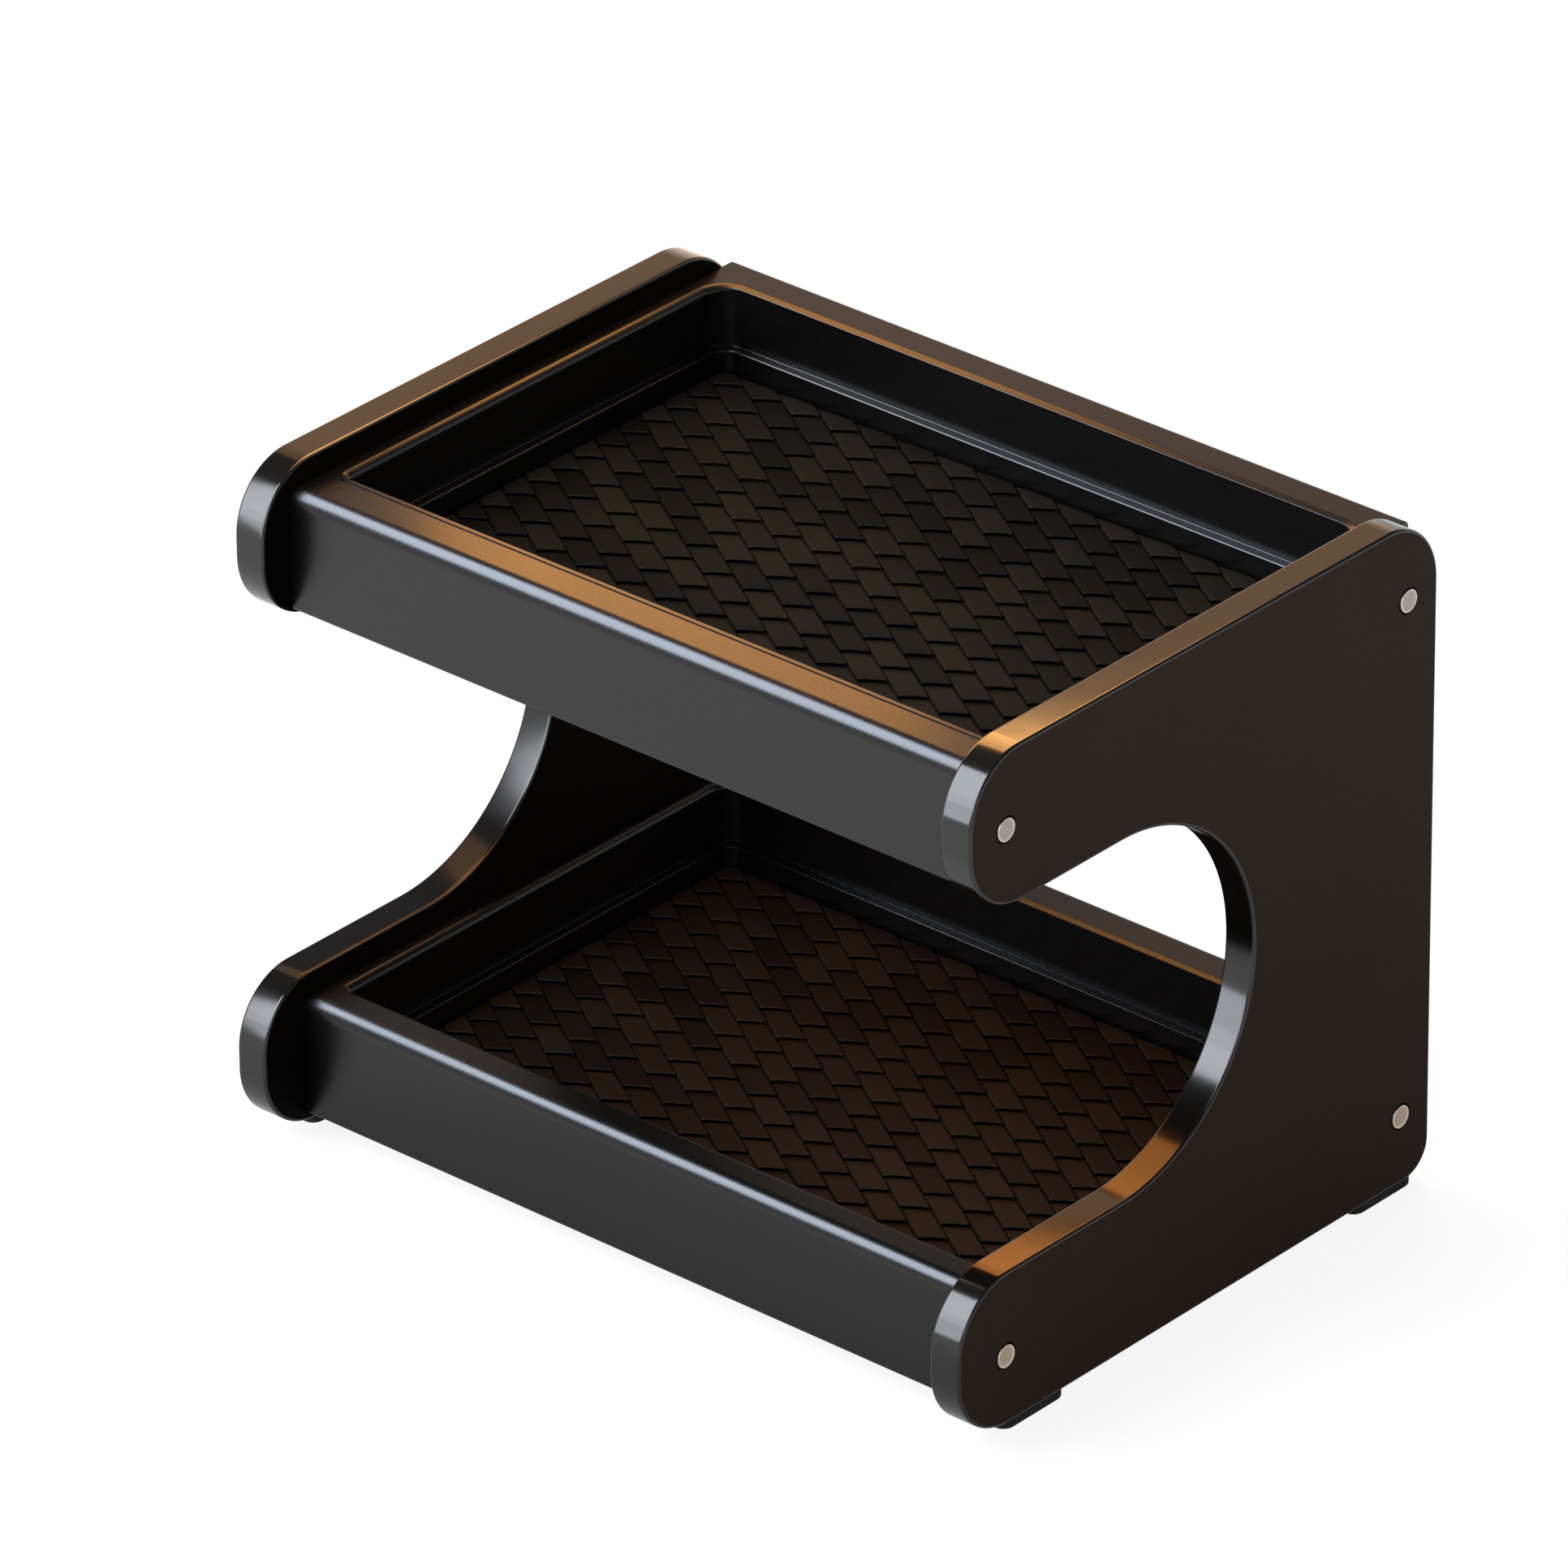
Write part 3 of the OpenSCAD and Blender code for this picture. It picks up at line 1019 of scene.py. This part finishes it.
def makeTray(level, grid):
    node = level + "_tray"
    low, high = boxMm(node)
    over, shell, thick = tray["over"], tray["shell"], tray["ribThickness"]
    rail, bead = tray["rails"][level], tray["beads"][level]
    piece = loftPiece(level + "_tray_moulding", sectionRings(low, high), "trayPlastic")
    wellFront, wellRear = low.y + rail, high.y - tray["rearRail"]
    wellHalf = high.x - tray["endWall"]
    rim, railFoot = high.z, high.z - tray["railHeight"]
    underFloor = rim - tray["ledgeDrop"] - tray["recessDepth"] - tray["floor"]
    pitch = 2 * wellHalf / (tray["crossRibs"] + 1)
    rowPitch = (wellRear - wellFront) / (tray["longRibs"] + 1)
    tools = [loftPiece("wellTool", wellRings(low, high, level), "trayPlastic")]
    strip = rim - tray["beadDrop"]
    beadLow = (-wellHalf, wellFront - bead, strip)
    tools.append(blockMesh("beadTool", beadLow, (wellHalf, wellFront + over, rim + over)))
    seamWide, seamDeep = tray["beadSeam"]
    seamLow = (-wellHalf, wellFront - bead, strip - seamDeep)
    if bead > 2 * seamWide:
        tools.append(blockMesh("seamTool", seamLow, (wellHalf, wellFront - bead + seamWide, rim + over)))

    def cells(name, rows, first, size, rowStep=0.0):
        return followRule(name, grid, {
            "columns": tray["crossRibs"] + 1,
            "rows": rows,
            "first": metres(first),
            "columnStep": metres((pitch, 0, 0)),
            "rowStep": metres((0, rowStep, 0)),
            "size": metres(size),
            "finish": finishes["trayPlastic"],
        })

    hollowTop = rim - shell
    hollowTall = hollowTop - railFoot + over
    for name, start, depth in (("front", low.y, rail), ("rear", wellRear, tray["rearRail"])):
        centre = (-wellHalf + pitch / 2, start + depth / 2, hollowTop - hollowTall / 2)
        tools.append(cells(name + "Hollows", 1, centre, (pitch - thick, depth - 2 * shell, hollowTall)))
    slabTop = underFloor - tray["ribHeight"]
    slabLow = (-wellHalf, wellFront, railFoot - over)
    tools.append(blockMesh("slabTool", slabLow, (wellHalf, wellRear, slabTop)))
    cellTall = underFloor - slabTop + over
    centre = (-wellHalf + pitch / 2, wellFront + rowPitch / 2, underFloor - cellTall / 2)
    cellSize = (pitch - thick, rowPitch - thick, cellTall)
    tools.append(cells("floorCells", tray["longRibs"] + 1, centre, cellSize, rowPitch))
    radius, deep = tray["insertHole"]
    for side, sign in sideSigns.items():
        for end in ("front", "rear"):
            spot = middle("insert_" + side + "_" + level + "_" + end)
            startX, endX = sign * (high.x - deep), sign * (high.x + over)
            tools.append(roundHole("insertTool", spot, radius, startX, endX))
    for tool in tools:
        cut(piece, tool)
    settle(piece)
    for tool in tools:
        bpy.data.objects.remove(tool)
    tidyMesh(piece.data)
    smoothShade(piece, tray["smoothAngle"])
    hand(settle(piece), "root", "tray_plastic", [node])


def tidyMesh(mesh):  # closes hairline gaps that the cuts left
    shape = bmesh.new()
    shape.from_mesh(mesh)
    bmesh.ops.remove_doubles(shape, verts=shape.verts, dist=tray["weld"] * mm)
    bmesh.ops.dissolve_degenerate(shape, edges=shape.edges, dist=tray["weld"] * mm)
    shape.to_mesh(mesh)
    shape.free()


hollowGrid = gridRule()
for trayLevel in ("upper", "lower"):
    makeTray(trayLevel, hollowGrid)
print("trays moulded")


# Woven mats: slanted plaits in a brick pattern on a base sheet

weave = {
    "step": (19.0, 12.6),  # from column to column, and from row to row
    "endEdge": (9.5, 6.3),
    "length": (19.0, -12.6),
    "corner": (48, -40),  # the low corner of one plait's raised end
    "rise": 1.3,  # from where a plait starts to its raised end
    "crest": 0.9,  # share of its length after which it runs level
    "crown": 0.16,
    "groove": 0.24,
    "endGap": 0.65,
    "nose": (0.972, 0.30),  # where the raised end starts to round off, and how far it drops
    "shoulder": (0.88, 0.30),  # the same for its two sides
    "undercut": 1.3,
    "pinch": 0.05,
    "baseDrop": 2.0,
    "baseRound": 0.4,
    "tuck": 0.1,  # how far the plaits reach into the base
    "alongStops": (0, 0.10, 0.28, 0.50, 0.72, 0.88, 0.962, 0.978, 0.992, 1),
    "acrossStops": (0, 0.03, 0.10, 0.5, 0.90, 0.97, 1),
    "lift": 0.05,
    "seed": 4,
    "cornerRadii": (1.5, 5.5),
    "cornerStep": 15,
    "leastCorner": 0.3,
    "borderRound": 1.3,
    "borderDrop": 0.8,
    "borderCuts": (1.3, 0.7, 0.3),
    "weld": 0.0005,
    "smoothAngle": 50,
}


def rounded(place, start):  # 0 up to start, then a quarter round to 1
    share = max(0, (place - start) / (1 - start))
    return 1 - math.sqrt(max(0, 1 - share ** 2))


def plaitHeight(along, across):  # from 0 at the top of the raised end, downwards
    noseStart, noseDrop = weave["nose"]
    shoulderStart, shoulderDrop = weave["shoulder"]
    side = abs(2 * across - 1)
    climb = math.sin(math.pi / 2 * min(1, along / weave["crest"]))
    height = weave["rise"] * (climb - 1)
    height -= noseDrop * rounded(along, noseStart)
    height -= weave["crown"] * side ** 3
    height -= shoulderDrop * rounded(side, shoulderStart)
    return height


def plaitShape():  # its raised corner lies at the origin
    lengthX, lengthY = weave["length"]
    endX, endY = weave["endEdge"]
    long = math.hypot(lengthX, lengthY)
    wide = abs(lengthX * endY - lengthY * endX) / long
    gapAlong = weave["endGap"] / long
    gapAcross = weave["groove"] / wide
    rows = []
    for along in weave["alongStops"]:
        row = []
        for across in weave["acrossStops"]:
            u = along * (1 - gapAlong) - 1
            side = gapAcross + weave["pinch"] * rounded(along, weave["nose"][0])
            v = side + across * (1 - 2 * side)
            row.append((u * lengthX + v * endX, u * lengthY + v * endY, plaitHeight(along, across)))
        rows.append(row)
    points = [point for row in rows for point in row]
    width = len(weave["acrossStops"])
    faces = []
    for i in range(len(rows) - 1):
        for j in range(width - 1):
            first = i * width + j
            faces.append((first, first + width, first + width + 1, first + 1))
    last = (len(rows) - 1) * width
    rim = list(range(width)) + [i * width + width - 1 for i in range(1, len(rows))]
    rim += [last + j for j in range(width - 2, -1, -1)] + [i * width for i in range(len(rows) - 2, 0, -1)]
    start = len(points)
    for index in rim:
        back = weave["undercut"] / long if index >= last else 0
        x, y, z = points[index]
        points.append((x - back * lengthX, y - back * lengthY, -weave["baseDrop"] - weave["tuck"]))
    for index in range(len(rim)):
        following = (index + 1) % len(rim)
        faces.append((rim[index], rim[following], start + following, start + index))
    faces.append(tuple(range(start, len(points))))
    plait = makePiece("plait", points, faces, ["matRubber"])
    facesOut(plait.data)
    return plait


def weaveRule():
    group, web, given = newRule("plaitRows", latticeInputs + [
        ("plait", "Object"), ("lift", "Float"), ("seed", "Int"), ("finish", "Material")])
    index = web.node("GeometryNodeInputIndex")
    height = web.node("FunctionNodeRandomValue", {"data_type": "FLOAT"}, {
        2: 0 - given["lift"], 3: 0.0, "Seed": given["seed"], "ID": index}, out=1)
    tone = web.node("FunctionNodeRandomValue", {"data_type": "FLOAT"}, {
        "Seed": given["seed"] + 1, "ID": index}, out=1)
    raised = web.node("ShaderNodeCombineXYZ", None, {2: height})
    places = web.placed("ADD", latticePlaces(web, given), raised)
    plait = web.node("GeometryNodeObjectInfo", None, {"Object": given["plait"]}, out=4)
    plaits = latticeCopies(web, given, places, plait)
    named = web.node("GeometryNodeStoreNamedAttribute", {"data_type": "FLOAT", "domain": "INSTANCE"}, {
        "Geometry": plaits, "Name": "plaitTone", "Value": tone})
    endRule(web, given, named)
    return group


def matRun(low, high, inset, step):
    front, rear = [max(radius - inset, weave["leastCorner"]) for radius in weave["cornerRadii"]]
    start, end = (low.x + inset, low.y + inset), (high.x - inset, high.y - inset)
    return cornerBox(start, end, (front, front, rear, rear), step)


def trim(shape, spot, way, clear):  # cuts along a plane, and closes what it opened
    parts = list(shape.verts) + list(shape.edges) + list(shape.faces)
    made = bmesh.ops.bisect_plane(
        shape, geom=parts, dist=weave["weld"] * mm, plane_co=spot, plane_no=way, clear_outer=clear)
    if clear:
        opened = [item for item in made["geom_cut"] if isinstance(item, bmesh.types.BMEdge)]
        bmesh.ops.holes_fill(shape, edges=opened)


def makeMat(level, plait, rule):
    node = level + "_mat"
    low, high = boxMm(node)
    stepX, stepY = weave["step"]
    starts, counts = [], []
    for axis, step in enumerate(weave["step"]):
        corner = weave["corner"][axis]
        span = abs(weave["length"][axis]) + weave["endEdge"][axis]
        first = math.floor((low[axis] - span - corner) / step)
        last = math.ceil((high[axis] + span - corner) / step)
        starts.append(corner + first * step)
        counts.append(last - first + 1)
    piece = followRule(level + "_woven_mat", rule, {
        "plait": plait,
        "columns": counts[0],
        "rows": counts[1],
        "first": metres((*starts, high.z)),
        "columnStep": metres((stepX, 0, 0)),
        "rowStep": metres((0, stepY, 0)),
        "lift": weave["lift"] * mm,
        "seed": weave["seed"],
        "finish": finishes["matRubber"],
    })
    shape = bmesh.new()
    shape.from_mesh(piece.data)
    for x, y, outX, outY in matRun(low, high, 0, weave["cornerStep"]):
        trim(shape, Vector((x, y, 0)) * mm, (outX, outY, 0), True)
    for inset in weave["borderCuts"]:
        for x, y, outX, outY in matRun(low, high, inset, 90):  # two cuts along each side
            trim(shape, Vector((x, y, 0)) * mm, (outX, outY, 0), False)
    roundBorder(shape, low, high)
    addBase(shape, low, high)
    bmesh.ops.recalc_face_normals(shape, faces=shape.faces)
    shape.to_mesh(piece.data)
    shape.free()
    smoothShade(piece, weave["smoothAngle"])
    hand(settle(piece), node, "woven_mat", [node])


def roundBorder(shape, low, high):
    reach, drop = weave["borderRound"], weave["borderDrop"]
    top = high.z - weave["baseDrop"]
    for corner in shape.verts:
        x, y, z = corner.co / mm
        edge = min(x - low.x, high.x - x, y - low.y, high.y - y)
        if edge < reach and z > top:
            share = (reach - max(edge, 0)) / reach
            corner.co.z = max(z - drop * rounded(share, 0), top) * mm


def addBase(shape, low, high):
    top = high.z - weave["baseDrop"]
    soft, step = weave["baseRound"], weave["cornerStep"]
    stations = [(low.z, soft), (low.z + soft, 0), (top - soft, 0), (top, soft)]
    rings = [flatRing(matRun(low, high, inset, step), z) for z, inset in stations]
    points, faces = loft(rings)
    corners = [shape.verts.new(Vector(point) * mm) for point in points]
    for face in faces:
        shape.faces.new([corners[index] for index in face])


plaitPiece = plaitShape()
plaitRows = weaveRule()
for matLevel in ("upper", "lower"):
    makeMat(matLevel, plaitPiece, plaitRows)
bpy.data.objects.remove(plaitPiece)
print("mats woven")


# Cover caps: one turned shape, set on eight holes

capProfile = {
    "radius": 4.55,
    "rim": 0.65,
    "dish": 0.3,
    "axis": 0.02,  # radius of the small end faces on the axis
    "sleeve": (3.4, 4.3),  # inner and outer radius of the ring behind the cap
    "sleeveTall": 1.0,
    "sides": 64,
    "smoothAngle": 45,
}


def capShape(tall):  # its outer face looks along +X, with the face plane at x = 0
    radius, dish, axis = capProfile["radius"], capProfile["dish"], capProfile["axis"]
    rimIn = radius - capProfile["rim"]
    sleeveIn, sleeveOut = capProfile["sleeve"]
    back = capProfile["sleeveTall"] - tall
    profile = [  # radius and place along X, from the dish over the rim to the back
        (axis, -dish), (1.2, -dish), (2.4, -dish * 0.98), (rimIn - 0.45, -dish * 0.9),
        (rimIn - 0.15, -dish * 0.55), (rimIn + 0.05, -0.06), (rimIn + 0.25, 0),
        (radius - 0.32, 0), (radius - 0.14, -0.05), (radius - 0.04, -0.16), (radius, -0.32),
        (radius, back + 0.25), (radius - 0.2, back),
        (sleeveOut, back), (sleeveOut, -tall), (sleeveIn, -tall), (sleeveIn, back), (axis, back),
    ]
    points, faces = loft([roundRing(x, (0, 0), reach, capProfile["sides"]) for reach, x in profile])
    cap = makePiece("cap", points, faces, ["capSteel"])
    facesOut(cap.data)
    reachOf = cap.data.attributes.new("fromAxis", "FLOAT", "POINT")
    for index, point in enumerate(points):
        reachOf.data[index].value = math.hypot(point[1], point[2])
    return cap


def fixingRule():  # one shape on each point, turned to face the point's side
    group, web, given = newRule("fixingSet", [
        ("Geometry", "Geometry"), ("shape", "Object"), ("finish", "Material")])
    facing = web.node("GeometryNodeInputNamedAttribute", {"data_type": "FLOAT"}, {"Name": "facing"})
    turn = web.node("ShaderNodeCombineXYZ", None, {2: (1 - facing) * (math.pi / 2)})
    shape = web.node("GeometryNodeObjectInfo", None, {"Object": given["shape"]}, out=4)
    copies = web.node("GeometryNodeInstanceOnPoints", None, {
        "Points": given["Geometry"], "Instance": shape, "Rotation": turn})
    endRule(web, given, copies)
    return group


def fixingNames(kind):
    return [kind + "_" + side + "_" + level + "_" + end
            for side in ("left", "right") for level in ("upper", "lower") for end in ("front", "rear")]


def makeCaps():
    names = fixingNames("cap")
    low, high = boxMm(names[-1])
    cap = capShape(high.x - low.x)
    spots = bpy.data.meshes.new("capSpots")
    places = []
    for name in names:
        centre = middle(name)
        places.append(Vector((math.copysign(high.x, centre.x), centre.y, centre.z)))
    spots.from_pydata([place * mm for place in places], [], [])
    facing = spots.attributes.new("facing", "FLOAT", "POINT")
    for index, place in enumerate(places):
        facing.data[index].value = math.copysign(1, place.x)
    piece = followRule("cover_caps", fixingRule(), {"shape": cap, "finish": finishes["capSteel"]}, spots)
    bpy.data.objects.remove(cap)
    smoothShade(piece, capProfile["smoothAngle"])
    hand(settle(piece), "root", "cap_metal", names)


makeCaps()
print("caps turned")


# Feet: long rubber pads with round ends

foot = {
    "soleRound": 1.0,
    "topRound": 0.3,
    "roundSteps": 5,
    "arcStep": 7.5,
    "smoothAngle": 40,
}


def footRun(low, high, inset):
    step = foot["arcStep"]
    half = (high.x - low.x) / 2
    centreX = (low.x + high.x) / 2
    run = arcRun((centreX, low.y + half), half - inset, 180, 360, step)
    run += arcRun((centreX, high.y - half), half - inset, 0, 180, step)
    return run


def makeFoot(side, end):
    node = "foot_" + side + "_" + end
    low, high = boxMm(node)
    soft, crisp = foot["soleRound"], foot["topRound"]
    turn = reversed(quarterTurn(foot["roundSteps"]))
    stations = [(low.z + soft * (1 - math.sin(a)), soft * (1 - math.cos(a))) for a in turn]
    stations += [(high.z - crisp, 0), (high.z, crisp)]
    rings = [flatRing(footRun(low, high, inset), z) for z, inset in stations]
    piece = loftPiece(side + "_" + end + "_foot_pad", rings, "footRubber")
    smoothShade(piece, foot["smoothAngle"])
    hand(settle(piece), "root", "foot_rubber", [node])


for footSide in ("left", "right"):
    for footEnd in ("front", "rear"):
        makeFoot(footSide, footEnd)
print("feet cast")


# Screws and inserts keep their solids, with a plated and a turned finish

for kind, finish in (("screw", "screwSteel"), ("insert", "insertBrass")):
    for fixingName in fixingNames(kind):
        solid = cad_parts[fixingName]
        solid.data.materials.clear()
        solid.data.materials.append(finishes[finish])
print("fixings finished")
